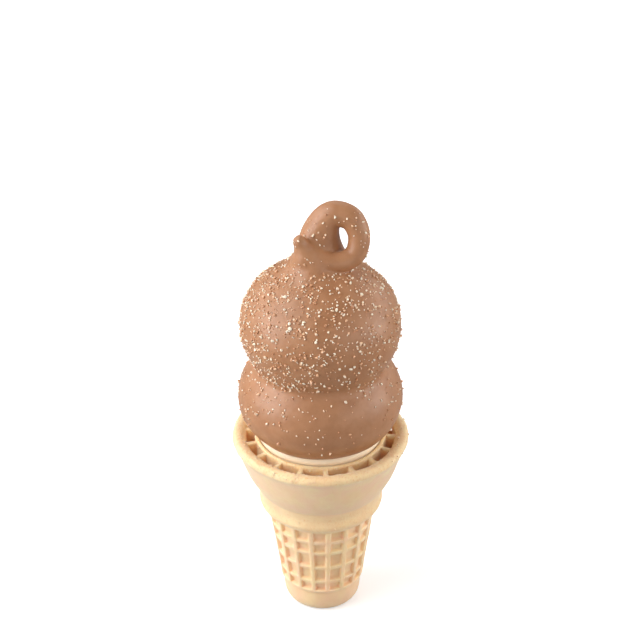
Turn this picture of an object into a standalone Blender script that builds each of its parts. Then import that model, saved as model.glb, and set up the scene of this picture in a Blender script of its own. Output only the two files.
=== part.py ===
# Ice cream cone: a flat-footed wafer cup, soft serve piled in two rounds on it,
# and a chocolate-coloured dip coating that ends in a curl.
# The part stands on its foot, +Z up, with its origin under the middle of the cup.
# All sizes below are in millimetres; the meshes are made in metres.

import math

import bmesh
import bpy
from mathutils import Matrix

MM = 0.001
FIT_GAP = 0.3            # left between touching pieces

# Wafer cup, from the foot up
FOOT_RADIUS = 15.4
FOOT_FLAT_RADIUS = 12.8
FOOT_HEIGHT = 10.4
FOOT_ROUND = 2.4
FLOOR_THICKNESS = 2.2
WALL = 1.7
WAFFLE_BOTTOM_RADIUS = 16.5
WAFFLE_TOP_RADIUS = 21.4
WAFFLE_TOP = 45.0
COLLAR_RADIUS = 24.4
COLLAR_WALL = 2.8
COLLAR_ROUND = 2.5
COLLAR_TOP = 55.2
BOWL_BOTTOM = 55.9
BOWL_BOTTOM_RADIUS = 25.3
BOWL_BULGE = 0.8
LIP_START = 72.0
LIP_START_RADIUS = 31.9
LIP_RADIUS = 34.3
LIP_INNER_RADIUS = 30.6
LIP_ROUND = 1.7
LIP_INNER_ROUND = 0.6
RIM_HEIGHT = 78.7
CUP_LEAN = 0.9           # sideways from rim to foot, towards +X
CUP_STEPS = 36
SMOOTH_BELOW = 35.0      # degrees between faces that still shade as one surface

# Inner ring and the fins that join it to the lip
FIN_COUNT = 18
FIN_PHASE = 5.3          # degrees from -Y towards +X
FIN_THICKNESS = 1.9
FIN_OUTER_RADIUS = 29.2
FIN_DROP = 1.7           # below the rim, where a fin meets the lip
RING_OUTER_RADIUS = 25.6
RING_INNER_RADIUS = 24.1
RING_DROP = 0.5
POCKET_FLOOR = 66.5
POCKET_FLOOR_OUTER_RADIUS = 28.6
CUT_PAST = 2.0           # how far a cutter reaches out of the surface it cuts

# Waffle pattern: columns of cells between upright ribs and lower level ridges
CELL_COLUMNS = 18
CELL_PHASE = 18.0        # degrees from -Y towards +X, to the middle of a column
RIB_WIDTH = 2.0
RIDGE_WIDTH = 1.5
RIDGE_HEIGHTS = (38.2, 32.3, 24.4, 16.7)
CELL_TOP = 44.0
CELL_BOTTOM = 11.9
RIDGE_DEPTH = 0.6
CELL_DEPTH = 1.7
CELL_DRAFT = 0.86        # a cell's width at its bottom over its width at its mouth
CELL_SLOPE = 0.3         # how far a cell's upper and lower walls lean in

# The two rounds of ice cream, each an upper and a lower half ellipse, coating included
UPPER_CENTRE = 127.1
UPPER_RADIUS = 30.4
UPPER_RISE = 25.4
UPPER_DROP = 28.3
LOWER_CENTRE = 95.1
LOWER_RADIUS = 31.7
LOWER_RISE = 24.7
LOWER_DROP = 22.1
CREASE_BLEND = 4.0
COAT_THICKNESS = 1.6
COAT_EDGE = 81.5
COAT_EDGE_ROUND = 0.3
CORE_WAIST = 83.0        # where the soft serve narrows to pass through the ring
COAT_STEPS = 40
CORE_STEPS = 24
COAT_TURN = 12.0         # degrees of ellipse between two profile points
CORE_TURN = 16.0

# The curl: middle (x, y, z) and radius of the rope, from its root to its tip
CURL_STATIONS = (
    (0.4, 4.0, 147.0, 11.5),
    (0.0, 4.6, 154.0, 8.9),
    (-0.2, 5.0, 161.0, 7.4),
    (1.9, 4.6, 167.6, 5.7),
    (5.6, 4.0, 170.7, 5.0),
    (11.4, 2.6, 169.3, 4.5),
    (14.4, 1.0, 163.2, 4.2),
    (12.4, -0.8, 157.0, 4.0),
    (5.6, -2.4, 154.8, 3.8),
    (-1.8, -3.6, 158.2, 3.4),
    (-6.7, -3.8, 163.2, 2.7),
    (-8.4, -3.9, 164.8, 1.6),
)


def clear_scene():
    for item in list(bpy.data.objects):
        bpy.data.objects.remove(item, do_unlink=True)


def new_collection(name):
    group = bpy.data.collections.new(name)
    bpy.context.scene.collection.children.link(group)
    return group


def new_material(name, colour, roughness):
    made = bpy.data.materials.new(name)
    made.use_nodes = True
    shader = made.node_tree.nodes["Principled BSDF"]
    shader.inputs["Base Color"].default_value = (*colour, 1.0)
    shader.inputs["Roughness"].default_value = roughness
    shader.inputs["Metallic"].default_value = 0.0
    return made


def hide_cutter(item):
    item.hide_render = True
    item.display_type = "WIRE"


def arc(middle, radius, start, end, steps):
    """Points (radius from the axis, height) on an arc, angles in degrees from +X."""
    points = []
    for step in range(steps + 1):
        angle = math.radians(start + (end - start) * step / steps)
        points.append((middle[0] + radius * math.cos(angle),
                       middle[1] + radius * math.sin(angle)))
    return points


def bowed(start, end, bulge, steps):
    """Points on a shallow bow from start to end, bulging outwards at its middle."""
    run = (end[0] - start[0], end[1] - start[1])
    length = math.hypot(*run)
    outward = (-run[1] / length, run[0] / length)
    points = []
    for step in range(steps + 1):
        share = step / steps
        lift = 4.0 * bulge * share * (1.0 - share)
        points.append((start[0] + run[0] * share + outward[0] * lift,
                       start[1] + run[1] * share + outward[1] * lift))
    return points


def turned(name, profile, steps, group):
    """A solid of revolution about Z; the profile runs down its outer side."""
    mesh = bpy.data.meshes.new(name)
    points = [(radius * MM, 0.0, height * MM) for radius, height in profile]
    edges = [(place, place + 1) for place in range(len(points) - 1)]
    mesh.from_pydata(points, edges, [])
    item = bpy.data.objects.new(name, mesh)
    group.objects.link(item)
    screw = item.modifiers.new("turn", "SCREW")
    screw.axis = "Z"
    screw.angle = math.radians(360.0)
    screw.steps = steps
    screw.render_steps = steps
    screw.use_merge_vertices = True
    screw.merge_threshold = 0.00001
    return item


def boolean(item, operation, operand, folded=False):
    """Join or cut with an object or a collection; folded says the operand meets itself."""
    step = item.modifiers.new(operation.lower(), "BOOLEAN")
    step.operation = operation
    step.solver = "EXACT"
    step.use_self = folded
    if isinstance(operand, bpy.types.Collection):
        step.operand_type = "COLLECTION"
        step.collection = operand
    else:
        step.object = operand


def evaluated_mesh(item):
    bpy.context.view_layer.update()
    depsgraph = bpy.context.evaluated_depsgraph_get()
    return bpy.data.meshes.new_from_object(item.evaluated_get(depsgraph))


def finish(item, made):
    """Turn the modifiers into a plain mesh, lean it with the cup and shade it."""
    mesh = evaluated_mesh(item)
    item.modifiers.clear()
    item.data = mesh
    for vertex in mesh.vertices:
        below_rim = max(0.0, 1.0 - vertex.co.z / (RIM_HEIGHT * MM))
        vertex.co.x += CUP_LEAN * MM * below_rim
    mesh.materials.clear()
    mesh.materials.append(made)
    mesh.shade_smooth()
    mesh.set_sharp_from_angle(angle=math.radians(SMOOTH_BELOW))


def radial_plate(name, outline, group):
    """A flat outline in the XZ plane, thick along Y by twice one millimetre, as a mesh."""
    curve = bpy.data.curves.new(name, "CURVE")
    curve.dimensions = "2D"
    curve.fill_mode = "BOTH"
    curve.extrude = MM
    spline = curve.splines.new("POLY")
    spline.points.add(len(outline) - 1)
    for point, (radius, height) in zip(spline.points, outline):
        point.co = (radius * MM, height * MM, 0.0, 1.0)
    spline.use_cyclic_u = True
    drawn = bpy.data.objects.new(name + "_outline", curve)
    group.objects.link(drawn)
    mesh = evaluated_mesh(drawn)
    bpy.data.objects.remove(drawn, do_unlink=True)
    weld(mesh)
    mesh.transform(Matrix.Rotation(math.radians(90.0), 4, "X"))
    return mesh


def weld(mesh):
    work = bmesh.new()
    work.from_mesh(mesh)
    bmesh.ops.remove_doubles(work, verts=work.verts, dist=0.00001)
    bmesh.ops.recalc_face_normals(work, faces=work.faces)
    work.to_mesh(mesh)
    work.free()


def around(name, mesh, count, phase, group):
    """Copies of one cutter about Z, the first at phase degrees from -Y towards +X."""
    for place in range(count):
        cutter = bpy.data.objects.new(f"{name}_{place:02d}", mesh)
        cutter.rotation_euler.z = math.radians(phase - 90.0 + 360.0 * place / count)
        group.objects.link(cutter)
        hide_cutter(cutter)


def waffle_radius(height):
    share = (height - FOOT_HEIGHT) / (WAFFLE_TOP - FOOT_HEIGHT)
    return WAFFLE_BOTTOM_RADIUS + (WAFFLE_TOP_RADIUS - WAFFLE_BOTTOM_RADIUS) * share


def cavity_profile(clear):
    """The inside of the cup from its floor up to the ring, drawn in by clear."""
    floor = FLOOR_THICKNESS + clear
    waffle_wall = CELL_DEPTH + WALL + clear
    collar_inside = COLLAR_RADIUS - COLLAR_WALL - clear
    return [
        (0.0, floor),
        (FOOT_FLAT_RADIUS - WALL - clear, floor),
        (waffle_radius(FOOT_HEIGHT) - waffle_wall, FOOT_HEIGHT - WALL),
        (waffle_radius(WAFFLE_TOP) - waffle_wall, WAFFLE_TOP),
        (collar_inside, WAFFLE_TOP + COLLAR_WALL),
        (collar_inside, BOWL_BOTTOM),
        (RING_INNER_RADIUS - clear, BOWL_BOTTOM + 2.0 * COLLAR_WALL),
    ]


def cup_profile():
    """The cup without pockets and cells: up its inside, over the lip, down its outside."""
    ring_half = (RING_OUTER_RADIUS - RING_INNER_RADIUS) / 2.0
    ring_level = RIM_HEIGHT - RING_DROP - ring_half
    ring_top = arc((RING_INNER_RADIUS + ring_half, ring_level), ring_half, 180.0, 0.0, 3)
    fin_end = (FIN_OUTER_RADIUS, RIM_HEIGHT - FIN_DROP)
    lip_inside = arc((LIP_INNER_RADIUS + LIP_INNER_ROUND, RIM_HEIGHT - LIP_INNER_ROUND),
                     LIP_INNER_ROUND, 160.0, 90.0, 1)
    lip_outside = arc((LIP_RADIUS - LIP_ROUND, RIM_HEIGHT - LIP_ROUND), LIP_ROUND,
                      90.0, -25.0, 4)
    bowl = bowed((LIP_START_RADIUS, LIP_START), (BOWL_BOTTOM_RADIUS, BOWL_BOTTOM),
                 BOWL_BULGE, 5)
    collar = arc((COLLAR_RADIUS - COLLAR_ROUND, WAFFLE_TOP + 1.4 * COLLAR_ROUND),
                 COLLAR_ROUND, 0.0, -70.0, 2)
    foot = arc((FOOT_FLAT_RADIUS, FOOT_ROUND), FOOT_ROUND, 0.0, -90.0, 3)
    profile = cavity_profile(0.0) + ring_top + [fin_end] + lip_inside
    profile += lip_outside + bowl
    profile += [(COLLAR_RADIUS, COLLAR_TOP)] + collar
    profile += [
        (WAFFLE_TOP_RADIUS, WAFFLE_TOP),
        (WAFFLE_BOTTOM_RADIUS, FOOT_HEIGHT + CELL_SLOPE),
        (FOOT_RADIUS, FOOT_HEIGHT),
    ]
    profile += foot
    profile.append((0.0, 0.0))
    return profile


def pocket_cutter(group):
    """The room between two fins, from the ring to the lip, open at the top."""
    above = RIM_HEIGHT + CUT_PAST
    outline = [
        (RING_OUTER_RADIUS, POCKET_FLOOR),
        (POCKET_FLOOR_OUTER_RADIUS, POCKET_FLOOR),
        (FIN_OUTER_RADIUS, RIM_HEIGHT - FIN_DROP - LIP_INNER_ROUND),
        (FIN_OUTER_RADIUS, above),
        (RING_OUTER_RADIUS, above),
    ]
    mesh = radial_plate("pocket", outline, group)
    half_turn = math.radians(180.0 / FIN_COUNT)
    for vertex in mesh.vertices:
        half_width = vertex.co.x * math.sin(half_turn) - FIN_THICKNESS * MM / 2.0
        vertex.co.y = math.copysign(half_width, vertex.co.y)
    return mesh


def cell_outline():
    """A column of cells in section: a comb whose teeth reach the cells' bottoms."""
    outline = [(waffle_radius(CELL_BOTTOM) + CUT_PAST, CELL_BOTTOM)]
    edges = [CELL_BOTTOM]
    for ridge in reversed(RIDGE_HEIGHTS):
        edges += [ridge - RIDGE_WIDTH / 2.0, ridge + RIDGE_WIDTH / 2.0]
    edges.append(CELL_TOP)
    for low, high in zip(edges[0::2], edges[1::2]):
        if low > CELL_BOTTOM:
            outline.append((waffle_radius(low) - RIDGE_DEPTH, low))
        outline.append((waffle_radius(low) - CELL_DEPTH, low + CELL_SLOPE))
        outline.append((waffle_radius(high) - CELL_DEPTH, high - CELL_SLOPE))
        if high < CELL_TOP:
            outline.append((waffle_radius(high) - RIDGE_DEPTH, high))
    outline.append((waffle_radius(CELL_TOP) + CUT_PAST, CELL_TOP))
    return outline


def cell_cutter(group):
    """One column's cutter, as wide as the room between two ribs at each height."""
    mesh = radial_plate("cells", cell_outline(), group)
    half_turn = math.pi / CELL_COLUMNS
    for vertex in mesh.vertices:
        height = vertex.co.z / MM
        mouth = waffle_radius(height) * math.sin(half_turn) - RIB_WIDTH / 2.0
        depth = waffle_radius(height) - vertex.co.x / MM
        narrowing = 1.0 - (1.0 - CELL_DRAFT) * max(0.0, depth) / CELL_DEPTH
        vertex.co.y = math.copysign(mouth * narrowing * MM, vertex.co.y)
    return mesh


def build_cup(parts, cutters, made):
    cup = turned("wafer_cup", cup_profile(), CUP_STEPS, parts)
    around("pocket", pocket_cutter(cutters), FIN_COUNT,
           FIN_PHASE + 180.0 / FIN_COUNT, cutters)
    around("cells", cell_cutter(cutters), CELL_COLUMNS, CELL_PHASE, cutters)
    boolean(cup, "DIFFERENCE", cutters)
    finish(cup, made)


def half_ellipse(height, centre, radius, rise, drop):
    reach = rise if height > centre else drop
    inside = 1.0 - ((height - centre) / reach) ** 2
    return radius * math.sqrt(max(0.0, inside))


def lobe_radius(height, depth):
    """Radius of the piled rounds at a height, drawn in by depth and blended at the crease."""
    upper = half_ellipse(height, UPPER_CENTRE, UPPER_RADIUS - depth,
                         UPPER_RISE - depth, UPPER_DROP - depth)
    lower = half_ellipse(height, LOWER_CENTRE, LOWER_RADIUS - depth,
                         LOWER_RISE - depth, LOWER_DROP - depth)
    share = min(1.0, max(0.0, 0.5 + 0.5 * (upper - lower) / CREASE_BLEND))
    return lower + (upper - lower) * share + CREASE_BLEND * share * (1.0 - share)


def crease_height(depth):
    """Height at which the two rounds are equally wide, found by halving."""
    low = LOWER_CENTRE
    high = UPPER_CENTRE
    for _ in range(30):
        middle = (low + high) / 2.0
        upper = half_ellipse(middle, UPPER_CENTRE, UPPER_RADIUS - depth,
                             UPPER_RISE - depth, UPPER_DROP - depth)
        lower = half_ellipse(middle, LOWER_CENTRE, LOWER_RADIUS - depth,
                             LOWER_RISE - depth, LOWER_DROP - depth)
        if upper > lower:
            high = middle
        else:
            low = middle
    return low


def lobe_profile(depth, bottom, turn_step):
    """The pile's outline from its top on the axis down to the height bottom."""
    crease = crease_height(depth)
    heights = []
    for centre, rise, drop, top, end in (
            (UPPER_CENTRE, UPPER_RISE - depth, UPPER_DROP - depth,
             UPPER_CENTRE + UPPER_RISE - depth, crease),
            (LOWER_CENTRE, LOWER_RISE - depth, LOWER_DROP - depth, crease, bottom)):
        start_turn = math.asin(min(1.0, (top - centre) / rise))
        end_turn = -math.asin((centre - end) / drop)
        steps = round(math.degrees(start_turn - end_turn) / turn_step)
        for step in range(steps):
            turn = start_turn + (end_turn - start_turn) * step / steps
            reach = rise if turn > 0.0 else drop
            heights.append(centre + reach * math.sin(turn))
    heights.append(bottom)
    profile = [(lobe_radius(height, depth), height) for height in heights]
    profile[0] = (0.0, heights[0])
    return profile


def core_pile(clear):
    """The soft serve above the ring, grown by clear, from its top down to its waist."""
    return lobe_profile(COAT_THICKNESS + FIT_GAP - clear, CORE_WAIST, CORE_TURN)


def build_core(parts, made):
    in_the_cup = list(reversed(cavity_profile(FIT_GAP)))
    core = turned("soft_serve", core_pile(0.0) + in_the_cup, CORE_STEPS, parts)
    finish(core, made)


def curl_rope(group):
    """The tapering rope of the curl, as a closed mesh object."""
    curve = bpy.data.curves.new("curl", "CURVE")
    curve.dimensions = "3D"
    curve.resolution_u = 3
    curve.bevel_depth = MM
    curve.bevel_resolution = 4
    curve.use_fill_caps = True
    spline = curve.splines.new("BEZIER")
    spline.bezier_points.add(len(CURL_STATIONS) - 1)
    for point, (across, back, up, radius) in zip(spline.bezier_points, CURL_STATIONS):
        point.co = (across * MM, back * MM, up * MM)
        point.radius = radius
        point.handle_left_type = "AUTO"
        point.handle_right_type = "AUTO"
    drawn = bpy.data.objects.new("curl_path", curve)
    group.objects.link(drawn)
    mesh = evaluated_mesh(drawn)
    bpy.data.objects.remove(drawn, do_unlink=True)
    weld(mesh)
    rope = bpy.data.objects.new("curl", mesh)
    group.objects.link(rope)
    hide_cutter(rope)
    return rope


def build_coating(parts, cutters, made):
    """Both rounds and the curl, hollowed where the soft serve fills them."""
    outside = lobe_profile(0.0, COAT_EDGE, COAT_TURN)
    underside = COAT_EDGE - COAT_EDGE_ROUND
    outside.append((outside[-1][0] - COAT_THICKNESS / 2.0, underside))
    outside.append((0.0, underside))
    coating = turned("dip_coating", outside, COAT_STEPS, parts)
    below = underside - CUT_PAST
    through = [(RING_INNER_RADIUS, below), (0.0, below)]
    room = turned("soft_serve_room", core_pile(FIT_GAP) + through, CORE_STEPS, cutters)
    hide_cutter(room)
    boolean(coating, "UNION", curl_rope(cutters), folded=True)
    boolean(coating, "DIFFERENCE", room)
    finish(coating, made)


def build():
    clear_scene()
    parts = new_collection("ice_cream_cone")
    cup_cutters = new_collection("cup_cutters")
    coat_cutters = new_collection("coat_cutters")
    wafer = new_material("wafer", (0.85, 0.66, 0.40), 0.75)
    cream = new_material("soft_serve", (0.89, 0.76, 0.58), 0.5)
    coat = new_material("dip_coating", (0.43, 0.22, 0.12), 0.45)
    build_cup(parts, cup_cutters, wafer)
    build_core(parts, cream)
    build_coating(parts, coat_cutters, coat)


build()
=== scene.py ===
# Dipped ice cream cone, dressed over its imported solids: a baked wafer cup, the soft
# serve, a dip coating that ends in a curl, and sugar grains scattered on the coating.
# Arrays hold millimetres; newMesh turns them into metres.

import bpy
import numpy as np
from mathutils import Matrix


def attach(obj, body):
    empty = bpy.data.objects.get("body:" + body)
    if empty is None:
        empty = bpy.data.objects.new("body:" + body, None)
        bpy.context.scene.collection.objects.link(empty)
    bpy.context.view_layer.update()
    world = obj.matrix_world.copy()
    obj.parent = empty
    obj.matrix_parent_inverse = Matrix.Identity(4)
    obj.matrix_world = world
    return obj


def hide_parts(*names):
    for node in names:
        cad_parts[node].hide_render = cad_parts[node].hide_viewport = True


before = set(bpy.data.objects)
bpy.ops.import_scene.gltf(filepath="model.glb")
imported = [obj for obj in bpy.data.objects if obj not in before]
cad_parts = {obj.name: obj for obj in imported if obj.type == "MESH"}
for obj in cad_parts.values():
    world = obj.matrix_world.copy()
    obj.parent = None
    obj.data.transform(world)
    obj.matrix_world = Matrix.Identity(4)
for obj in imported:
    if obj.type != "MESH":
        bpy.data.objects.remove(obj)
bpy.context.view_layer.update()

mm = 0.001
cupLean = 0.9            # sideways from rim to foot, towards +X
rimHeight = 78.7


def smoothStep(low, high, value):
    share = np.clip((value - low) / (high - low), 0.0, 1.0)
    return share * share * (3.0 - 2.0 * share)


def unevenness(points, size, seed):
    # Value noise: random heights at the corners of a lattice of that size in mm,
    # blended along each axis by 3t^2 - 2t^3. Runs from -1 to 1.
    side = 24
    lattice = np.random.default_rng(seed).uniform(-1.0, 1.0, (side, side, side))
    place = points / size
    cell = np.floor(place).astype(int)
    part = place - cell
    part = part * part * (3.0 - 2.0 * part)
    total = np.zeros(len(points))
    for corner in range(8):
        step = np.array([(corner >> axis) & 1 for axis in range(3)])
        weight = np.prod(np.where(step == 1, part, 1.0 - part), axis=1)
        index = (cell + step) % side
        total += weight * lattice[index[:, 0], index[:, 1], index[:, 2]]
    return total


def arc(middle, radius, start, end, count):
    turn = np.radians(np.linspace(start, end, count))
    return np.column_stack((middle[0] + radius * np.cos(turn),
                            middle[1] + radius * np.sin(turn)))


def resampled(line, count):
    # the same polyline as count points, evenly spaced along its length
    line = np.asarray(line, dtype=float)
    along = np.concatenate(([0.0], np.cumsum(np.linalg.norm(np.diff(line, axis=0), axis=1))))
    wanted = np.linspace(0.0, along[-1], count)
    return np.column_stack([np.interp(wanted, along, line[:, axis])
                            for axis in range(line.shape[1])])


def rounded(line, count):
    # Catmull-Rom curve through the points: each span is a cubic whose end slopes are
    # half the chord of its neighbours
    line = np.asarray(line, dtype=float)
    padded = np.vstack((2.0 * line[0] - line[1], line, 2.0 * line[-1] - line[-2]))
    place = np.linspace(0.0, len(line) - 1.0, count)
    span = np.minimum(place.astype(int), len(line) - 2)
    part = (place - span)[:, None]
    before, start, end, after = (padded[span + step] for step in range(4))
    return 0.5 * (2.0 * start + (end - before) * part
                  + (2.0 * before - 5.0 * start + 4.0 * end - after) * part ** 2
                  + (3.0 * start - before - 3.0 * end + after) * part ** 3)


def gridFaces(rows, columns):
    # quads of a grid whose columns close on themselves, facing out when rows run down
    place = np.arange((rows - 1) * columns)
    row, column = np.divmod(place, columns)
    beside = (column + 1) % columns
    return np.column_stack((row * columns + column, (row + 1) * columns + column,
                            (row + 1) * columns + beside, row * columns + beside))


def poleFaces(ring, pole, outwards):
    # a fan of triangles from one ring of point numbers to its pole
    beside = np.roll(ring, -1)
    middle = np.full(len(ring), pole)
    order = (middle, ring, beside) if outwards else (ring, middle, beside)
    return np.column_stack(order)


def newMesh(name, points, *faceSets):
    mesh = bpy.data.meshes.new(name)
    faces = [face for faceSet in faceSets for face in faceSet.tolist()]
    mesh.from_pydata((points * mm).tolist(), [], faces)
    mesh.update()
    return mesh


def closedGrid(name, rings, startPole, endPole):
    # rings is rows x columns x 3; the first and last ring close at their poles
    rows, columns = rings.shape[:2]
    points = np.vstack((rings.reshape(-1, 3), startPole, endPole))
    first = np.arange(columns)
    return newMesh(name, points, gridFaces(rows, columns),
                   poleFaces(first, len(points) - 2, True),
                   poleFaces(first + (rows - 1) * columns, len(points) - 1, False))


def newPiece(name, mesh):
    item = bpy.data.objects.new(name, mesh)
    bpy.context.scene.collection.objects.link(item)
    return item


def applyModifiers(item):
    bpy.context.view_layer.update()
    depsgraph = bpy.context.evaluated_depsgraph_get()
    mesh = bpy.data.meshes.new_from_object(item.evaluated_get(depsgraph))
    item.modifiers.clear()
    item.data = mesh


def meshPoints(mesh):
    flat = np.empty(len(mesh.vertices) * 3, dtype=np.float32)
    mesh.vertices.foreach_get("co", flat)
    return flat.reshape(-1, 3).astype(float) / mm


def setPoints(mesh, points):
    mesh.vertices.foreach_set("co", (points * mm).astype(np.float32).ravel())
    mesh.update()


def addAttribute(mesh, name, values):
    layer = mesh.attributes.new(name, "FLOAT", "POINT")
    layer.data.foreach_set("value", np.asarray(values, dtype=np.float32))


def linearColour(hexText):
    channels = []
    for place in (1, 3, 5):
        value = int(hexText[place:place + 2], 16) / 255.0
        channels.append(value / 12.92 if value <= 0.04045 else ((value + 0.055) / 1.055) ** 2.4)
    return (*channels, 1.0)


def addNode(tree, kind, settings, inputs):
    # a node with its own settings; an input is a value or the socket that feeds it
    node = tree.nodes.new(kind)
    for name, value in settings.items():
        setattr(node, name, value)
    for socket, value in inputs.items():
        if isinstance(value, bpy.types.NodeSocket):
            tree.links.new(value, node.inputs[socket])
        else:
            node.inputs[socket].default_value = value
    return node


def newMaterial(name):
    made = bpy.data.materials.new(name)
    made.use_nodes = True
    made.node_tree.nodes.clear()
    return made, made.node_tree


def perMetre(size):
    return 1.0 / (size * mm)


# wafer cup

cup = {
    "count": 18,                  # fins, and ribs of the waffle pattern
    "finPhase": 5.3,              # degrees from -Y towards +X
    "ribPhase": 8.0,
    "finDrift": 2.0,              # how far fins stand off their even spacing, degrees
    "driftFrom": 15.0,
    "ribDrift": 0.5,
    # column places on each side of a fin or rib, in degrees
    "finColumns": (0.7, 1.45, 1.8, 2.1, 2.4, 2.7, 3.2, 4.2, 5.4, 6.9, 8.4),
    "ribColumns": (1.1, 2.2, 2.6, 3.0, 3.4, 3.8, 4.4, 5.4, 6.6, 7.8, 9.0),
    "finFlat": 1.5, "finWall": 2.75,
    "ribFlat": 1.9, "ribWall": 4.0,
    "waffleFrom": (16.5, 10.4), "waffleTo": (21.4, 45.0),
    "ridgeHeights": (38.2, 32.3, 24.4, 16.7),
    "ridgeFlat": 0.62, "ridgeWall": 1.4,
    "ridgeDepth": 0.25, "cellDepth": 1.5,
    "cellTop": 44.0, "cellBottom": 11.9, "cellWall": 0.7,
    "grooves": ((75.3, 0.05, 0.26), (73.4, 0.05, 0.35), (68.2, 0.05, 0.5), (60.4, 0.07, 0.5)),
    # painted shade on the side walls of the pockets
    "wallShade": 0.08,
    "broadRelief": 0.16, "broadSize": 11.0,
    "fineRelief": 0.06, "fineSize": 2.3,
    "crumbRelief": 0.13, "crumbSize": 1.3,   # torn batter along the lip and fins
    "lipRelief": 0.22, "lipSize": 5.0,
}


def waffleRadius(height):
    low, high = cup["waffleFrom"], cup["waffleTo"]
    return low[0] + (high[0] - low[0]) * (height - low[1]) / (high[1] - low[1])


def stretch(openLine, solidLine, slide, openBrownShade, solidBrownShade):
    # rows of: radius and height between fins or ribs, the same on them, how far the
    # columns have slid from fin places to rib places, and the brown of both, which is
    # baked colour together with painted shade in the recesses
    count = len(openLine)
    return np.column_stack((openLine, solidLine, np.linspace(slide[0], slide[1], count),
                            np.full(count, openBrownShade), np.full(count, solidBrownShade)))


def cupRows():
    cavity = np.array([(5.0, 2.2), (11.1, 2.2), (12.1, 5.4), (13.1, 8.7), (14.7, 20.5),
                       (16.4, 32.8), (18.0, 45.0), (21.6, 47.8), (21.6, 55.9),
                       (24.1, 61.5), (24.1, 69.0), (24.1, 76.6)])
    ring = arc((24.85, 77.45), 0.75, 180.0, 10.0, 8)
    pocket = np.vstack((
        resampled([(25.6, 77.0), (25.75, 69.4)], 6),
        arc((26.45, 69.2), 0.7, 190.0, 262.0, 3),
        [(27.2, 68.5)],
        arc((27.95, 69.2), 0.7, 278.0, 350.0, 3),
        resampled([(28.7, 69.7), (29.2, 76.3)], 5)))
    fin = resampled([(25.62, 77.25), (26.3, 77.05), (29.2, 77.0)], len(pocket))
    lip = rounded([(29.3, 76.9), (29.9, 77.65), (30.6, 78.3), (31.4, 78.65), (32.3, 78.7),
                   (33.15, 78.5), (33.8, 77.95), (34.18, 77.15), (34.28, 76.35)], 20)
    bowl = rounded([(34.15, 75.75), (33.75, 75.05), (33.1, 74.0), (32.5, 72.6), (31.75, 70.6),
                    (30.6, 67.2), (29.15, 63.2), (27.1, 59.0), (25.35, 55.9)], 38)
    for level, depth, width in cup["grooves"]:
        bowl[:, 0] -= depth * np.exp(-((bowl[:, 1] - level) / width) ** 2)
    collar = rounded([(24.75, 55.45), (24.45, 55.0), (24.1, 53.0), (23.8, 51.0),
                      (24.1, 49.6), (24.35, 48.3), (24.0, 47.0), (23.3, 46.0),
                      (22.2, 45.3), (21.5, 44.9)], 18)
    levels = [np.linspace(44.6, 43.0, 8), np.linspace(12.7, 11.3, 7)]
    for ridge in cup["ridgeHeights"]:
        levels.append(ridge + np.array([1.6, 1.15, 0.9, 0.7, 0.5, 0.2,
                                        -0.2, -0.5, -0.7, -0.9, -1.15, -1.6]))
    for low, high in zip((39.8, 33.9, 26.0, 18.3, 12.9), (42.6, 36.6, 30.7, 22.8, 15.1)):
        levels.append(np.linspace(low + 0.6, high - 0.6, 4))
    level = np.sort(np.concatenate(levels))[::-1]
    deep = np.ones(len(level))
    for ridge in cup["ridgeHeights"]:
        deep *= smoothStep(cup["ridgeFlat"], cup["ridgeWall"], np.abs(level - ridge))
    depth = cup["ridgeDepth"] + (cup["cellDepth"] - cup["ridgeDepth"]) * deep
    depth *= smoothStep(0.0, cup["cellWall"], cup["cellTop"] - level)
    depth *= smoothStep(0.0, cup["cellWall"], level - cup["cellBottom"])
    ribs = np.column_stack((waffleRadius(level), level))
    cells = ribs - np.column_stack((depth, np.zeros(len(level))))
    waffle = stretch(cells, ribs, (1.0, 1.0), 0.0, 0.12)
    # painted shade: the cell floors are painted browner the deeper they sink
    waffle[:, 5] = 0.10 + 0.10 * depth / cup["cellDepth"]
    foot = rounded([(16.45, 10.8), (16.1, 10.45), (15.55, 10.2), (15.4, 9.4), (15.4, 6.0),
                    (15.1, 3.6), (14.7, 2.2), (13.9, 0.9), (12.8, 0.0)], 20)
    under = np.array([(12.0, 0.0), (8.0, 0.0), (4.0, 0.0)])
    wall = stretch(bowl, bowl, (0.0, 1.0), 0.16, 0.16)
    # painted light: the bowl is painted paler just below the lip, where the lip's roll shades it
    wall[:, 5:7] -= 0.11 * smoothStep(70.0, 75.0, bowl[:, 1])[:, None]   # paler by the lip
    return np.vstack((
        stretch(cavity, cavity, (0.0, 0.0), 0.3, 0.3),
        stretch(ring, ring, (0.0, 0.0), 0.12, 0.12),
        # painted shade: the pockets are painted browner than the fin tops between them
        stretch(pocket, fin, (0.0, 0.0), 0.12, 0.03),
        stretch(lip, lip, (0.0, 0.0), 0.1, 0.1),
        wall,
        stretch(collar, collar, (1.0, 1.0), 0.16, 0.16),
        waffle,
        stretch(foot, foot, (1.0, 1.0), 0.18, 0.18),
        stretch(under, under, (1.0, 1.0), 0.4, 0.4)))


def offsets(places):
    side = np.array(places)
    return np.concatenate((-side[::-1], [0.0], side, [180.0 / cup["count"]]))


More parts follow.
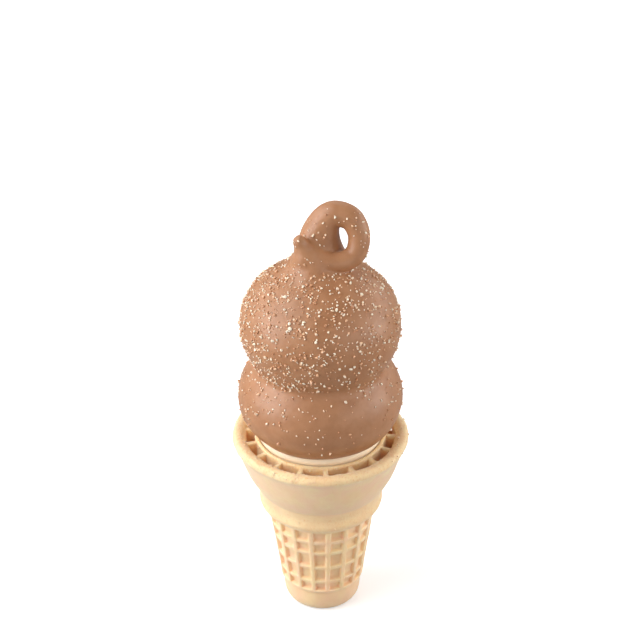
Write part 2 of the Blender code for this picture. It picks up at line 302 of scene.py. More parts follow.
def buildCup():
    # point(row, column) = (r sin a, -r cos a, z), with r and z between the pocket's and
    # the fin's profile: open + (solid - open) * raised(a)
    rows = cupRows()
    openLine, solidLine, slide = rows[:, 0:2], rows[:, 2:4], rows[:, 4:5]
    fins, ribs = offsets(cup["finColumns"]), offsets(cup["ribColumns"])
    number = np.arange(cup["count"])
    pitch = 360.0 / cup["count"]
    spread = np.random.default_rng(11).uniform(-1.0, 1.0, cup["count"])
    swing = np.radians(cup["finPhase"] + number * pitch - cup["driftFrom"])
    finMiddle = cup["finPhase"] + number * pitch \
        + cup["finDrift"] * (np.sin(swing) + np.sin(3.0 * swing) / 3.0)
    ribMiddle = cup["ribPhase"] + number * pitch + cup["ribDrift"] * spread
    perFin = len(fins)
    finAngle = (finMiddle[:, None] + fins[None, :]).ravel()
    ribAngle = (ribMiddle[:, None] + ribs[None, :]).ravel()
    # the column halfway to the next fin or rib stands midway between the two
    for angle, middle in ((finAngle, finMiddle), (ribAngle, ribMiddle)):
        ahead = np.roll(middle, -1)
        ahead[-1] += 360.0
        angle[perFin - 1::perFin] = (middle + ahead) / 2.0
    finRaised = np.tile(1.0 - smoothStep(cup["finFlat"], cup["finWall"], np.abs(fins)),
                        cup["count"])
    ribRaised = np.tile(1.0 - smoothStep(cup["ribFlat"], cup["ribWall"], np.abs(ribs)),
                        cup["count"])
    turn = np.radians(finAngle + (ribAngle - finAngle) * slide)
    raised = np.where(slide > 0.5, ribRaised, finRaised)
    radius = openLine[:, 0:1] + (solidLine[:, 0:1] - openLine[:, 0:1]) * raised
    height = openLine[:, 1:2] + (solidLine[:, 1:2] - openLine[:, 1:2]) * raised
    # baked colour plus painted shade: browner down in pockets and cells, and painted shade on the
    # walls beside the fins
    brownAndShade = rows[:, 5:6] + (rows[:, 6:7] - rows[:, 5:6]) * raised \
        + cup["wallShade"] * 4.0 * raised * (1.0 - raised) * (slide < 0.5)

    flat = np.column_stack(((radius * np.sin(turn)).ravel(),
                            (-radius * np.cos(turn)).ravel(), height.ravel()))
    relief = cup["broadRelief"] * unevenness(flat, cup["broadSize"], 3) \
        + cup["fineRelief"] * unevenness(flat, cup["fineSize"], 5)
    torn = smoothStep(74.9, 76.4, height)
    bits = torn * (cup["crumbRelief"] * unevenness(flat, cup["crumbSize"], 7)
                   + cup["lipRelief"] * unevenness(flat, cup["lipSize"], 9)).reshape(torn.shape)
    outside = np.arange(len(rows)) >= 20
    relief = relief.reshape(radius.shape) * outside[:, None] \
        * smoothStep(0.0, 4.0, height)
    radius = radius + relief + bits * outside[:, None]
    lip = smoothStep(rimHeight - 3.0, rimHeight, height)
    height = height + 0.6 * bits \
        + lip * 0.12 * (unevenness(flat, 14.0, 8).reshape(height.shape) - 1.0)
    crumb = np.clip(0.2 + 0.8 * torn + 0.5 * smoothStep(44.0, 46.0, height)
                    * (1.0 - smoothStep(52.0, 56.0, height)), 0.0, 1.0)
    rings = np.stack((radius * np.sin(turn) + cupLean * (1.0 - height / rimHeight),
                      -radius * np.cos(turn), height), axis=2)
    floor = np.array([[cupLean, 0.0, 2.2]])
    base = np.array([[cupLean, 0.0, 0.0]])
    mesh = closedGrid("bakedWafer", rings, floor, base)
    addAttribute(mesh, "browningAndShade", np.concatenate((brownAndShade.ravel(), [0.3, 0.4])))
    addAttribute(mesh, "crumb", np.concatenate((crumb.ravel(), [0.2, 0.2])))
    mesh.shade_smooth()
    print(f"cup: {len(rows)} rows, {len(finAngle)} columns")
    return newPiece("bakedWafer", mesh)


# the pile of two rounds, shared by the soft serve and its coating

pile = {
    "upper": (127.1, 30.4, 25.4, 28.3),    # centre, radius, rise, drop
    "lower": (95.1, 31.7, 24.7, 22.1),
    "creaseBlend": 4.0,
    "coatThickness": 1.6,
    "gap": 0.3,
}


def halfEllipse(height, sizes, depth):
    centre, radius, rise, drop = sizes
    reach = np.where(height > centre, rise - depth, drop - depth)
    return (radius - depth) * np.sqrt(np.maximum(0.0, 1.0 - ((height - centre) / reach) ** 2))


def lobeRadius(height, depth):
    # smooth maximum of the two rounds: a + (b - a) s + k s (1 - s)
    upper = halfEllipse(height, pile["upper"], depth)
    lower = halfEllipse(height, pile["lower"], depth)
    blend = pile["creaseBlend"]
    share = np.clip(0.5 + 0.5 * (upper - lower) / blend, 0.0, 1.0)
    return lower + (upper - lower) * share + blend * share * (1.0 - share)


def pileProfile(depth, bottom, count):
    # heights crowd towards the top, where the radius changes fastest
    top = pile["upper"][0] + pile["upper"][2] - depth
    share = np.linspace(0.03, 1.0, count)
    height = top - (top - bottom) * share ** 1.6
    return np.column_stack((lobeRadius(height, depth), height))


def turnedRings(profile, columns):
    turn = np.linspace(0.0, 2.0 * np.pi, columns, endpoint=False)
    return np.stack((profile[:, 0:1] * np.sin(turn), -profile[:, 0:1] * np.cos(turn),
                     np.repeat(profile[:, 1:2], columns, axis=1)), axis=2)


# soft serve

cream = {
    "columns": 240,
    "waist": 83.0,
    "bandFrom": 78.3, "bandTo": 81.1, "bandRadius": 23.95, "bandBulge": 0.6,
    "relief": 0.12, "reliefSize": 7.0,
}


def buildCream():
    depth = pile["coatThickness"] + pile["gap"]
    top = pile["upper"][0] + pile["upper"][2] - depth
    above = pileProfile(depth, cream["waist"], 46)
    # between ring and coating the soft serve swells out: r = r0 + b sin(pi t)^0.6
    level = np.linspace(cream["bandTo"], cream["bandFrom"], 16)
    share = (level - cream["bandFrom"]) / (cream["bandTo"] - cream["bandFrom"])
    swell = np.maximum(np.sin(np.pi * share), 0.0) ** 0.6
    band = np.vstack(([(cream["bandRadius"], 82.0)],
                      np.column_stack((cream["bandRadius"] + cream["bandBulge"] * swell, level)),
                      [(23.8, 77.6)]))
    below = np.array([(23.8, 72.0), (23.8, 61.5), (21.3, 55.9), (21.3, 48.0), (17.7, 45.0),
                      (14.4, 20.5), (12.8, 8.7), (10.8, 2.5), (6.0, 2.5)])
    profile = np.vstack((above, band, below))
    rings = turnedRings(profile, cream["columns"])
    flat = rings.reshape(-1, 3)
    shown = smoothStep(74.0, 77.0, flat[:, 2]) * (1.0 - smoothStep(81.4, 83.0, flat[:, 2]))
    swell = cream["relief"] * shown * unevenness(flat, cream["reliefSize"], 21)
    flat[:, :2] *= 1.0 + (swell / 24.0)[:, None]
    flat[:, 0] += cupLean * np.maximum(0.0, 1.0 - flat[:, 2] / rimHeight)
    mesh = closedGrid("softServeFill", flat.reshape(rings.shape),
                      np.array([[0.0, 0.0, top]]), np.array([[cupLean, 0.0, 2.5]]))
    mesh.shade_smooth()
    print(f"soft serve: {len(profile)} rows")
    return newPiece("softServeFill", mesh)


# dip coating and its curl

coating = {
    "edge": 81.5, "underside": 81.2, "edgeRound": 0.7,
    "voxel": 0.62,
    "neckBlend": 3.5, "flankBlend": 7.0, "tipBlend": 2.0, "strandBlend": 0.5,
    "creaseBlend": 3.4,
    "strandFrom": 0.42,           # share of the rope where its free strand begins
    "tailBlend": 2.2,             # how softly the tail runs into the flank below it
    # the flank that fills the neck's left front and ends in a short tip
    "flank": (
        (-2.0, -1.0, 146.0, 8.4), (-3.2, -2.0, 151.5, 6.4), (-5.0, -2.8, 156.5, 4.8),
        (-6.3, -3.2, 160.3, 3.3), (-7.4, -3.6, 162.9, 2.6), (-8.5, -3.9, 164.6, 1.75)),
    "relief": 0.16, "reliefSize": 8.5,
    "fineRelief": 0.05, "fineSize": 1.5,
    # middle (x, y, z) and radius of the rope, from its root to its tip
    "stations": (
        (0.4, 4.0, 147.0, 11.5), (0.0, 4.6, 154.0, 8.9), (-0.2, 5.0, 161.0, 7.4),
        (1.9, 4.6, 167.6, 5.7), (5.6, 4.0, 170.7, 5.0), (11.4, 2.6, 169.3, 4.5),
        (14.3, 0.9, 163.0, 4.1), (12.3, -1.2, 156.2, 3.9), (5.6, -3.6, 154.4, 3.8),
        (-0.8, -4.0, 155.8, 3.8), (-4.6, -3.4, 157.8, 3.6)),
}


def ellipsoidDistance(points, sizes):
    # near the surface k0 (k0 - 1) / k1, with k0 = |p / r| and k1 = |p / r^2|
    centre, radius, rise, drop = sizes
    place = points - np.array((0.0, 0.0, centre))
    upright = np.where(place[:, 2] > 0.0, rise, drop)
    reach = np.column_stack((np.full(len(place), radius), np.full(len(place), radius), upright))
    near = np.linalg.norm(place / reach, axis=1)
    slope = np.maximum(np.linalg.norm(place / reach ** 2, axis=1), 1e-9)
    return near * (near - 1.0) / slope


def ropeDistance(points, rope):
    # least distance to a chain of tapering spans: |p - middle| - radius
    best = np.full(len(points), 1e9)
    for start, end in zip(rope[:-1], rope[1:]):
        run = end[:3] - start[:3]
        share = np.clip((points - start[:3]) @ run / (run @ run), 0.0, 1.0)
        away = np.linalg.norm(points - start[:3] - share[:, None] * run, axis=1)
        best = np.minimum(best, away - start[3] - (end[3] - start[3]) * share)
    return best


def smoothLeast(one, other, blend):
    # polynomial smooth minimum: least - k h^2 / 4, with h = max(k - |a - b|, 0) / k
    near = np.maximum(blend - np.abs(one - other), 0.0) / blend
    return np.minimum(one, other) - blend * near * near / 4.0


def coatingField(points, neck, strand):
    rounds = smoothLeast(ellipsoidDistance(points, pile["upper"]),
                         ellipsoidDistance(points, pile["lower"]), coating["creaseBlend"])
    field = rounds
    high = points[:, 2] > 138.0
    if high.any():
        top = points[high]
        joined = smoothLeast(rounds[high], ropeDistance(top, neck), coating["neckBlend"])
        soft = coating["flankBlend"] + (coating["tipBlend"] - coating["flankBlend"]) \
            * smoothStep(155.0, 161.0, top[:, 2])
        joined = smoothLeast(joined, ropeDistance(top, np.array(coating["flank"])), soft)
        # the strand leaves the neck without a swelling, so its blend grows with distance,
        # and again where its tail runs into the flank
        leaving = np.linalg.norm(top - strand[0, :3], axis=1)
        blend = 0.05 + coating["strandBlend"] * smoothStep(5.0, 11.0, leaving)
        blend = blend + coating["tailBlend"] * smoothStep(-4.0, 3.0, -top[:, 0])
        field = rounds.copy()
        field[high] = smoothLeast(joined, ropeDistance(top, strand), blend)
    field = field - coating["relief"] * unevenness(points, coating["reliefSize"], 31) \
        - coating["fineRelief"] * unevenness(points, coating["fineSize"], 33)
    return -smoothLeast(-field, points[:, 2] - coating["underside"], coating["edgeRound"])


def ropeRings(rope, columns):
    # a circle carried along the path: middle + r (side cos a + other sin a)
    middle, radius = rope[:, :3], rope[:, 3]
    ahead = np.gradient(middle, axis=0)
    ahead /= np.linalg.norm(ahead, axis=1)[:, None]
    side = np.cross(ahead, np.array((0.25, 1.0, 0.1)))
    side /= np.linalg.norm(side, axis=1)[:, None]
    other = np.cross(ahead, side)
    turn = np.linspace(0.0, 2.0 * np.pi, columns, endpoint=False)
    return middle[:, None, :] + radius[:, None, None] \
        * (side[:, None, :] * np.cos(turn)[None, :, None]
           - other[:, None, :] * np.sin(turn)[None, :, None])


def buildCoating():
    rope = rounded(coating["stations"], 67)
    split = int(coating["strandFrom"] * (len(rope) - 1))
    neck, strand = rope[:split + 1], rope[split:]

    top = pile["upper"][0] + pile["upper"][2]
    profile = np.vstack((pileProfile(0.0, coating["edge"], 90),
                         [(20.0, coating["underside"])]))
    rounds = closedGrid("rounds", turnedRings(profile, 120), np.array([[0.0, 0.0, top]]),
                        np.array([[0.0, 0.0, coating["underside"]]]))
    rings = ropeRings(rope, 32)
    item = newPiece("dipCoatingShell", rounds)
    parts = [item, newPiece("curl", closedGrid("curl", rings, rope[:1, :3], rope[-1:, :3]))]
    spine = resampled(coating["flank"], 24)
    parts.append(newPiece("flank", closedGrid("flank", ropeRings(spine, 32),
                                              spine[:1, :3], spine[-1:, :3])))
    with bpy.context.temp_override(active_object=item, object=item, selected_objects=parts,
                                   selected_editable_objects=parts):
        bpy.ops.object.join()
    remesh = item.modifiers.new("fuse", "REMESH")
    remesh.mode = "VOXEL"
    remesh.voxel_size = coating["voxel"] * mm
    remesh.adaptivity = 0.0
    applyModifiers(item)

    # slide every point down the field's slope onto the surface field = 0
    points = meshPoints(item.data)
    for _ in range(4):
        value = coatingField(points, neck, strand)
        step = 0.05
        slope = np.column_stack([
            (coatingField(points + step * axis, neck, strand)
             - coatingField(points - step * axis, neck, strand)) / (2.0 * step)
            for axis in np.eye(3)])
        steep = np.maximum(np.sum(slope * slope, axis=1), 0.2)
        points -= np.clip(value / steep, -0.6, 0.6)[:, None] * slope
    setPoints(item.data, points)
    relax = item.modifiers.new("relax", "SMOOTH")
    relax.factor = 0.5
    relax.iterations = 2
    applyModifiers(item)

    room = pileProfile(pile["coatThickness"], cream["waist"], 60)
    below = np.array([(24.1, 82.0), (24.1, 79.0), (12.0, 79.0)])
    hollow = newPiece("room", closedGrid(
        "room", turnedRings(np.vstack((room, below)), 120),
        np.array([[0.0, 0.0, top - pile["coatThickness"]]]), np.array([[0.0, 0.0, 79.0]])))
    cut = item.modifiers.new("hollow", "BOOLEAN")
    cut.operation = "DIFFERENCE"
    cut.solver = "EXACT"
    cut.object = hollow
    applyModifiers(item)
    bpy.data.objects.remove(hollow, do_unlink=True)
    item.data.name = "dipCoatingShell"
    item.data.shade_smooth()
    print(f"coating: {len(item.data.polygons)} faces")
    return item


# sugar grains

sugar = {
    "count": 2950,
    "median": 0.71, "spread": 0.34, "least": 0.32, "most": 1.5,   # mm across
    "sunk": 0.24,                 # share of its size that a grain sits in the coating
    "crease": 108.0, "upperDensity": 1.0, "lowerDensity": 0.22, "curlDensity": 0.5,
    "thickSide": -42.0,           # degrees from -Y towards +X, where most grains lie
    "clusterSize": 5.0, "clumpSize": 2.0,
    "hole": (9.0, 162.0),         # sideways place and height of the curl's hole
    "seed": 77,
}


def icosahedron():
    golden = (1.0 + 5.0 ** 0.5) / 2.0
    points = []
    for one in (-1.0, 1.0):
        for other in (-golden, golden):
            points += [(0.0, one, other), (one, other, 0.0), (other, 0.0, one)]
    points = np.array(points) / np.hypot(1.0, golden)
    faces = []
    for a in range(12):
        for b in range(a + 1, 12):
            for c in range(b + 1, 12):
                sides = [np.linalg.norm(points[p] - points[q])
                         for p, q in ((a, b), (b, c), (a, c))]
                if max(sides) < 1.1:
                    normal = np.cross(points[b] - points[a], points[c] - points[a])
                    out = normal @ (points[a] + points[b] + points[c]) > 0.0
                    faces.append((a, b, c) if out else (a, c, b))
    return points, np.array(faces)


def randomTurns(dice, count):
    # rotation matrices from unit quaternions with normally spread parts
    quaternion = dice.normal(size=(count, 4))
    w, x, y, z = (quaternion / np.linalg.norm(quaternion, axis=1)[:, None]).T
    return np.stack((
        np.stack((1 - 2 * (y * y + z * z), 2 * (x * y - w * z), 2 * (x * z + w * y)), axis=1),
        np.stack((2 * (x * y + w * z), 1 - 2 * (x * x + z * z), 2 * (y * z - w * x)), axis=1),
        np.stack((2 * (x * z - w * y), 2 * (y * z + w * x), 1 - 2 * (x * x + y * y)), axis=1)),
        axis=1)


def surfaceOf(item):
    # every triangle of a finished piece: corners, area, facing and middle
    mesh = item.data
    mesh.calc_loop_triangles()
    corners = np.empty(len(mesh.loop_triangles) * 3, dtype=np.int32)
    mesh.loop_triangles.foreach_get("vertices", corners)
    triangles = meshPoints(mesh)[corners.reshape(-1, 3)]
    across = np.cross(triangles[:, 1] - triangles[:, 0], triangles[:, 2] - triangles[:, 0])
    area = np.linalg.norm(across, axis=1) / 2.0
    normal = across / np.maximum(2.0 * area, 1e-9)[:, None]
    return triangles, area, normal, triangles.mean(axis=1)


def scatterGrains(name, triangles, normal, weight, grain):
    # grains lie where weight, the share of each triangle, puts them; each is an
    # icosahedron with every corner moved in or out and its sides stretched
    dice = np.random.default_rng(grain["seed"])
    count = grain["count"]
    chosen = dice.choice(len(weight), count, p=weight / weight.sum())
    share = dice.dirichlet((1.0, 1.0, 1.0), count)
    place = np.sum(triangles[chosen] * share[:, :, None], axis=1)
    size = np.clip(grain["median"] * np.exp(dice.normal(0.0, grain["spread"], count)),
                   grain["least"], grain["most"])
    solid, faces = icosahedron()
    bent = solid[None] * (1.0 + dice.uniform(-0.24, 0.24, (count, 12, 1)))
    bent = bent * dice.uniform((0.8, 0.65, 0.5), (1.2, 1.0, 0.85), (count, 3))[:, None, :]
    bent = np.einsum("nij,nkj->nki", randomTurns(dice, count), bent)
    lift = (0.5 - grain["sunk"]) * size * 0.85
    points = place[:, None] + bent * (size / 2.0)[:, None, None] \
        + normal[chosen][:, None] * lift[:, None, None]
    allFaces = faces[None] + 12 * np.arange(count)[:, None, None]
    mesh = newMesh(name, points.reshape(-1, 3), allFaces.reshape(-1, 3))
    addAttribute(mesh, "tint", np.repeat(dice.uniform(0.0, 1.0, count), 12))
    print(f"{name}: {count} grains")
    return newPiece(name, mesh)


def buildSugar(shell):
    triangles, area, normal, middle = surfaceOf(shell)
    outward = np.hypot(middle[:, 0], middle[:, 1]) > \
        lobeRadius(middle[:, 2], 0.0) - 0.8
    outside = outward | (middle[:, 2] > 151.6)
    height = middle[:, 2]
    azimuth = np.degrees(np.arctan2(middle[:, 0], -middle[:, 1]))
    side = 0.5 + 0.5 * np.cos(np.radians(azimuth - sugar["thickSide"]))
    onUpper = smoothStep(sugar["crease"] - 3.0, sugar["crease"] + 8.0, height)
    density = sugar["lowerDensity"] * smoothStep(84.0, 102.0, height) ** 0.7 \
        * (1.0 - onUpper) + sugar["upperDensity"] * onUpper
    density *= 0.5 + 0.5 * side
    # the underside of the upper round caught few grains away from the thick side
    belly = (1.0 - smoothStep(112.0, 133.0, height)) * onUpper
    density *= 1.0 - 0.85 * belly * smoothStep(-32.0, 25.0, np.abs(azimuth + 42.0) - 42.0)
    onCurl = smoothStep(151.0, 155.0, height)
    density *= 1.0 - (1.0 - sugar["curlDensity"]) * onCurl
    # hardly any reach the sides of the curl that face its hole
    inward = np.array(sugar["hole"]) - middle[:, (0, 2)]
    facing = np.sum(normal[:, (0, 2)] * inward, axis=1) / np.linalg.norm(inward, axis=1)
    density *= 1.0 - onCurl * smoothStep(0.05, 0.4, facing)
    # the curl caught most of its grains on the front
    density *= 1.0 - 0.85 * onCurl * (1.0 - smoothStep(0.1, 0.55, -normal[:, 1]))
    density *= np.exp(0.42 * unevenness(middle, sugar["clusterSize"], 41)
                      + 0.7 * unevenness(middle, sugar["clumpSize"], 43))
    return scatterGrains("sugarGrains", triangles, normal, area * density * outside, sugar)


# wafer crumbs, torn off the lip and the fins and left lying there

crumbs = {
    "count": 420,
    "median": 0.48, "spread": 0.35, "least": 0.25, "most": 0.95,   # mm across
    "sunk": 0.30,
    "thickSide": 6.0,
    "clusterSize": 3.5,
    "seed": 19,
}


def buildCrumbs(wafer):
    triangles, area, normal, middle = surfaceOf(wafer)
    height = middle[:, 2]
    azimuth = np.degrees(np.arctan2(middle[:, 0], -middle[:, 1]))
    side = 0.5 + 0.5 * np.cos(np.radians(azimuth - crumbs["thickSide"]))
    reach = np.hypot(middle[:, 0], middle[:, 1])
    onLip = smoothStep(75.4, 77.0, height) * (reach > 25.3) * (normal[:, 2] > -0.2)
    onCollar = smoothStep(45.5, 47.5, height) * (1.0 - smoothStep(53.0, 55.0, height)) * (reach > 23.0)
    density = (onLip + 0.12 * onCollar) * (0.15 + side ** 2)
    density *= np.exp(1.2 * unevenness(middle, crumbs["clusterSize"], 51))
    return scatterGrains("waferCrumbs", triangles, normal, area * density, crumbs)


# materials

waferLook = {
    "pale": "#FDDFAF", "brownAndShade": "#D88A50", "toasted": "#EDB472", "scuffed": "#FACDA8",
    "mottleSize": 7.0, "scuffSize": 9.0, "speckSize": 0.9, "poreSize": 0.75,
    "roughness": 0.6,
}


def waferMaterial():
    # baked batter: pale where the mould pressed it smooth, browner in its recesses (baked
    # colour and painted shade), with pinkish scuffs, specks and pores left by steam, and a
    # floury bloom on its edges
    made, tree = newMaterial("bakedWaferBatter")
    place = addNode(tree, "ShaderNodeTexCoord", {}, {}).outputs["Object"]
    mottle = addNode(tree, "ShaderNodeTexNoise", {}, {
        "Vector": place, "Scale": perMetre(waferLook["mottleSize"]), "Detail": 4.0,
        "Roughness": 0.6})
    scuff = addNode(tree, "ShaderNodeTexNoise", {}, {
        "Vector": place, "Scale": perMetre(waferLook["scuffSize"]), "Detail": 5.0,
        "Roughness": 0.55, "Distortion": 0.6})
    speck = addNode(tree, "ShaderNodeTexNoise", {}, {
        "Vector": place, "Scale": perMetre(waferLook["speckSize"]), "Detail": 3.0,
        "Roughness": 0.7})
    pores = addNode(tree, "ShaderNodeTexVoronoi", {}, {
        "Vector": place, "Scale": perMetre(waferLook["poreSize"]), "Randomness": 1.0})
    # the browning attribute: baked colour together with painted shade in pockets and cells
    brownAndShade = addNode(tree, "ShaderNodeAttribute", {"attribute_name": "browningAndShade"}, {})
    crumb = addNode(tree, "ShaderNodeAttribute", {"attribute_name": "crumb"}, {})
    patches = addNode(tree, "ShaderNodeMapRange", {}, {
        "Value": mottle.outputs["Fac"], "From Min": 0.35, "From Max": 0.7,
        "To Min": -0.08, "To Max": 0.12})
    share = addNode(tree, "ShaderNodeMath", {"operation": "ADD", "use_clamp": True}, {
        0: brownAndShade.outputs["Fac"], 1: patches.outputs["Result"]})
    base = addNode(tree, "ShaderNodeMix", {"data_type": "RGBA"}, {
        "Factor": share.outputs["Value"], 6: linearColour(waferLook["pale"]),
        7: linearColour(waferLook["brownAndShade"])})
    rubbed = addNode(tree, "ShaderNodeMapRange", {}, {
        "Value": scuff.outputs["Fac"], "From Min": 0.38, "From Max": 0.62,
        "To Min": 0.15, "To Max": 0.95})
    smooth = addNode(tree, "ShaderNodeMath", {"operation": "SUBTRACT", "use_clamp": True}, {
        0: rubbed.outputs["Result"], 1: crumb.outputs["Fac"]})
    scuffed = addNode(tree, "ShaderNodeMix", {"data_type": "RGBA"}, {
        "Factor": smooth.outputs["Value"], 6: base.outputs[2],
        7: linearColour(waferLook["scuffed"])})
    specks = addNode(tree, "ShaderNodeMapRange", {}, {
        "Value": speck.outputs["Fac"], "From Min": 0.5, "From Max": 0.75,
        "To Min": 0.0, "To Max": 0.75})
    spotted = addNode(tree, "ShaderNodeMath", {"operation": "MULTIPLY"}, {
        0: specks.outputs["Result"], 1: crumb.outputs["Fac"]})
    colour = addNode(tree, "ShaderNodeMix", {"data_type": "RGBA"}, {
        "Factor": spotted.outputs["Value"], 6: scuffed.outputs[2],
        7: linearColour(waferLook["toasted"])})
    pits = addNode(tree, "ShaderNodeMapRange", {}, {
        "Value": pores.outputs["Distance"], "From Min": 0.05, "From Max": 0.3,
        "To Min": 0.0, "To Max": 1.0})
    relief = addNode(tree, "ShaderNodeMath", {"operation": "MULTIPLY_ADD"}, {
        0: pits.outputs["Result"], 1: 0.35, 2: speck.outputs["Fac"]})
    rough = addNode(tree, "ShaderNodeMath", {"operation": "MULTIPLY"}, {
        0: relief.outputs["Value"], 1: crumb.outputs["Fac"]})
    bump = addNode(tree, "ShaderNodeBump", {}, {
        "Height": rough.outputs["Value"], "Strength": 0.6, "Distance": 0.35 * mm})
    shader = addNode(tree, "ShaderNodeBsdfPrincipled", {}, {
        "Base Color": colour.outputs[2], "Roughness": waferLook["roughness"],
        "IOR": 1.45, "Specular IOR Level": 0.5, "Normal": bump.outputs["Normal"],
        "Sheen Weight": 0.22, "Sheen Roughness": 0.5, "Sheen Tint": (1.0, 0.98, 0.96, 1.0),
        "Subsurface Weight": 0.7, "Subsurface Radius": (1.0, 0.95, 0.88),
        "Subsurface Scale": 1.8 * mm})
    addNode(tree, "ShaderNodeOutputMaterial", {}, {"Surface": shader.outputs["BSDF"]})
    return made


creamLook = {"colour": "#FBE8CB", "roughness": 0.45, "ripple": 1.6}


def creamMaterial():
    # churned soft serve: nearly white with yellow milk fat, light spreads inside it
    made, tree = newMaterial("churnedSoftServe")
    place = addNode(tree, "ShaderNodeTexCoord", {}, {}).outputs["Object"]
    ripple = addNode(tree, "ShaderNodeTexNoise", {}, {
        "Vector": place, "Scale": perMetre(creamLook["ripple"]), "Detail": 3.0})
    bump = addNode(tree, "ShaderNodeBump", {}, {
        "Height": ripple.outputs["Fac"], "Strength": 0.3, "Distance": 0.15 * mm})
    shader = addNode(tree, "ShaderNodeBsdfPrincipled", {}, {
        "Base Color": linearColour(creamLook["colour"]), "IOR": 1.35,
        "Roughness": creamLook["roughness"], "Normal": bump.outputs["Normal"],
        "Subsurface Weight": 0.3, "Subsurface Radius": (1.0, 0.95, 0.9),
        "Subsurface Scale": 1.0 * mm})
    addNode(tree, "ShaderNodeOutputMaterial", {}, {"Surface": shader.outputs["BSDF"]})
    return made


coatLook = {
    "colour": "#B27E58", "deep": "#A7734D",
    "mottleSize": 6.0, "grainSize": 0.4, "roughness": 0.40,
}


def coatMaterial():
    # set confectionery coating: fine sugar and cocoa in hard fat, so matte and faintly
    # grainy, with slow drifts of tone where it set thicker
    made, tree = newMaterial("setDipCoating")
    place = addNode(tree, "ShaderNodeTexCoord", {}, {}).outputs["Object"]
    mottle = addNode(tree, "ShaderNodeTexNoise", {}, {
        "Vector": place, "Scale": perMetre(coatLook["mottleSize"]), "Detail": 4.0,
        "Roughness": 0.55})
    grain = addNode(tree, "ShaderNodeTexNoise", {}, {
        "Vector": place, "Scale": perMetre(coatLook["grainSize"]), "Detail": 3.0,
        "Roughness": 0.7})
    share = addNode(tree, "ShaderNodeMapRange", {}, {
        "Value": mottle.outputs["Fac"], "From Min": 0.35, "From Max": 0.65,
        "To Min": 0.0, "To Max": 1.0})
    base = addNode(tree, "ShaderNodeMix", {"data_type": "RGBA"}, {
        "Factor": share.outputs["Result"], 6: linearColour(coatLook["colour"]),
        7: linearColour(coatLook["deep"])})
    rough = addNode(tree, "ShaderNodeMapRange", {}, {
        "Value": grain.outputs["Fac"], "From Min": 0.3, "From Max": 0.7,
        "To Min": coatLook["roughness"] - 0.06, "To Max": coatLook["roughness"] + 0.1})
    bump = addNode(tree, "ShaderNodeBump", {}, {
        "Height": grain.outputs["Fac"], "Strength": 0.35, "Distance": 0.06 * mm})
    shader = addNode(tree, "ShaderNodeBsdfPrincipled", {}, {
        "Base Color": base.outputs[2], "Roughness": rough.outputs["Result"],
        "IOR": 1.5, "Specular IOR Level": 0.5, "Normal": bump.outputs["Normal"],
        "Subsurface Weight": 0.12, "Subsurface Radius": (1.0, 0.5, 0.3),
        "Subsurface Scale": 0.8 * mm})
    addNode(tree, "ShaderNodeOutputMaterial", {}, {"Surface": shader.outputs["BSDF"]})
    return made


sugarLook = {"covered": "#CB9670", "dull": "#F2C39C", "clear": "#FFEFD6"}


def sugarMaterial():
    # loose crystals: a few covered by the coating, most dulled by a film of it, and the
    # rest clear and bright
    made, tree = newMaterial("crushedSugarCrystals")
    tint = addNode(tree, "ShaderNodeAttribute", {"attribute_name": "tint"}, {})
    film = addNode(tree, "ShaderNodeMapRange", {}, {
        "Value": tint.outputs["Fac"], "From Min": 0.1, "From Max": 0.4,
        "To Min": 0.0, "To Max": 1.0})
    bare = addNode(tree, "ShaderNodeMapRange", {}, {
        "Value": tint.outputs["Fac"], "From Min": 0.35, "From Max": 0.75,
        "To Min": 0.0, "To Max": 1.0})
    filmed = addNode(tree, "ShaderNodeMix", {"data_type": "RGBA"}, {
        "Factor": film.outputs["Result"], 6: linearColour(sugarLook["covered"]),
        7: linearColour(sugarLook["dull"])})
    colour = addNode(tree, "ShaderNodeMix", {"data_type": "RGBA"}, {
        "Factor": bare.outputs["Result"], 6: filmed.outputs[2],
        7: linearColour(sugarLook["clear"])})
    shader = addNode(tree, "ShaderNodeBsdfPrincipled", {}, {
        "Base Color": colour.outputs[2], "Roughness": 0.2, "IOR": 1.54,
        "Subsurface Weight": 0.35, "Subsurface Radius": (1.0, 0.9, 0.8),
        "Subsurface Scale": 0.5 * mm})
    addNode(tree, "ShaderNodeOutputMaterial", {}, {"Surface": shader.outputs["BSDF"]})
    return made


# studio

studio = {
    "cameraPlace": (-0.000117, -0.57776, 0.46624), "cameraTilt": 59.66, "lens": 100.125,
    "floorColour": "#F4F4F4", "floorThrown": "#A8A8A8",
    "glowNear": 0.3, "glowFar": 0.6, "glowFrom": 120.0, "glowTo": 520.0,   # mm away
    "roomSeen": 0.9, "roomLight": 0.24,
    "coolTint": (0.93, 0.96, 1.0),       # the lights on the left are a little cooler
    # direction from the part, distance and width in metres, power in watts
    "lights": (
        ("left", (-1.0, 0.0, 0.35), 0.9, 0.6, 2.3),
        ("leftBack", (-0.8, 0.6, 0.4), 0.9, 0.6, 1.4),
        ("leftFront", (-0.9, -0.45, 0.3), 0.9, 0.6, 3.3),
        ("leftHigh", (-0.7, -0.5, 0.8), 0.9, 0.6, 1.7),
        ("leftLow", (-0.97, -0.2, 0.08), 0.9, 0.5, 1.6),
        ("leftOver", (-0.7, 0.0, 0.9), 0.9, 0.6, 3.1),
        ("right", (1.0, 0.0, 0.35), 0.9, 0.6, 1.9),
        ("rightLow", (1.0, -0.1, 0.02), 0.9, 0.6, 2.8),
        ("rightBack", (0.8, 0.6, 0.4), 0.9, 0.6, 1.8),
        ("rightFront", (0.7, -0.7, 0.3), 0.9, 0.6, 1.5),
        ("backHigh", (0.0, 0.8, 0.8), 0.9, 0.6, 1.0),
        ("front", (0.0, -1.0, 0.15), 0.9, 0.6, 0.5)),
}


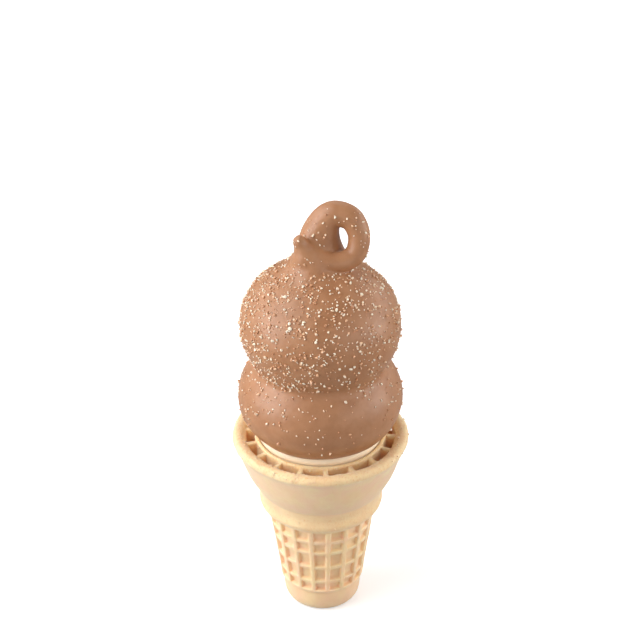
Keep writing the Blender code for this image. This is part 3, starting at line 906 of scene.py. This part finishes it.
def addLight(name, direction, distance, size, power):
    light = bpy.data.lights.new(name, "AREA")
    light.shape = "DISK"
    light.size = size
    light.energy = power
    light.color = studio["coolTint"] if name.startswith("left") else (1.0, 1.0, 1.0)
    item = bpy.data.objects.new(name, light)
    direction = np.array(direction) / np.linalg.norm(direction)
    item.location = np.array((0.0, 0.0, 0.09)) + direction * distance
    flat = np.hypot(direction[0], direction[1])
    item.rotation_euler = (np.arctan2(flat, direction[2]), 0.0,
                           np.arctan2(direction[0], -direction[1]))
    bpy.context.scene.collection.objects.link(item)


def buildStudio():
    camera = bpy.data.cameras.new("camera")
    camera.lens = studio["lens"]
    camera.sensor_width = 36.0
    view = bpy.data.objects.new("camera", camera)
    view.location = studio["cameraPlace"]
    view.rotation_euler = (np.radians(studio["cameraTilt"]), 0.0, 0.0)
    bpy.context.scene.collection.objects.link(view)
    bpy.context.scene.camera = view

    half = 3000.0
    floor = newPiece("floor", newMesh("floor", np.array(
        [(-half, -half, 0.0), (half, -half, 0.0), (half, half, 0.0), (-half, half, 0.0)]),
        np.array([[0, 1, 2, 3]])))
    # a pale sweep that glows a little more away from the part
    made, tree = newMaterial("paleStudioFloor")
    place = addNode(tree, "ShaderNodeTexCoord", {}, {}).outputs["Object"]
    away = addNode(tree, "ShaderNodeVectorMath", {"operation": "LENGTH"}, {0: place})
    glow = addNode(tree, "ShaderNodeMapRange", {}, {
        "Value": away.outputs["Value"], "From Min": studio["glowFrom"] * mm,
        "From Max": studio["glowTo"] * mm, "To Min": studio["glowNear"],
        "To Max": studio["glowFar"]})
    shown = addNode(tree, "ShaderNodeBsdfPrincipled", {}, {
        "Base Color": linearColour(studio["floorColour"]), "Roughness": 0.9,
        "Specular IOR Level": 0.1, "Emission Color": (1.0, 1.0, 1.0, 1.0),
        "Emission Strength": glow.outputs["Result"]})
    # it throws back less light on the part than it shows, as a sweep further off would
    thrown = addNode(tree, "ShaderNodeBsdfDiffuse", {}, {
        "Color": linearColour(studio["floorThrown"])})
    seen = addNode(tree, "ShaderNodeLightPath", {}, {}).outputs["Is Camera Ray"]
    both = addNode(tree, "ShaderNodeMixShader", {}, {
        0: seen, 1: thrown.outputs["BSDF"], 2: shown.outputs["BSDF"]})
    addNode(tree, "ShaderNodeOutputMaterial", {}, {"Surface": both.outputs["Shader"]})
    floor.data.materials.append(made)

    world = bpy.data.worlds.new("studioLight")
    world.use_nodes = True
    tree = world.node_tree
    tree.nodes.clear()
    # the camera sees a pale room, which lights the part less than it shows
    seen = addNode(tree, "ShaderNodeLightPath", {}, {}).outputs["Is Camera Ray"]
    strength = addNode(tree, "ShaderNodeMapRange", {}, {
        "Value": seen, "To Min": studio["roomLight"], "To Max": studio["roomSeen"]})
    sky = addNode(tree, "ShaderNodeBackground", {}, {
        "Color": (1.0, 1.0, 1.0, 1.0), "Strength": strength.outputs["Result"]})
    addNode(tree, "ShaderNodeOutputWorld", {}, {"Surface": sky.outputs["Background"]})
    bpy.context.scene.world = world
    for light in studio["lights"]:
        addLight(*light)
    bpy.context.scene.view_settings.view_transform = "Standard"


def place(item, material, slot, node):
    item.data.materials.clear()
    item.data.materials.append(material)
    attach(item, "root")
    if node:
        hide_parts(node)


buildStudio()
print("studio set")
wafer, batter = buildCup(), waferMaterial()
place(wafer, batter, "wafer", "wafer_cup")
place(buildCrumbs(wafer), batter, "wafer", None)
place(buildCream(), creamMaterial(), "soft_serve", "soft_serve")
shell = buildCoating()
place(shell, coatMaterial(), "dip_coating", "dip_coating")
place(buildSugar(shell), sugarMaterial(), "dip_coating", None)

print("pieces placed")
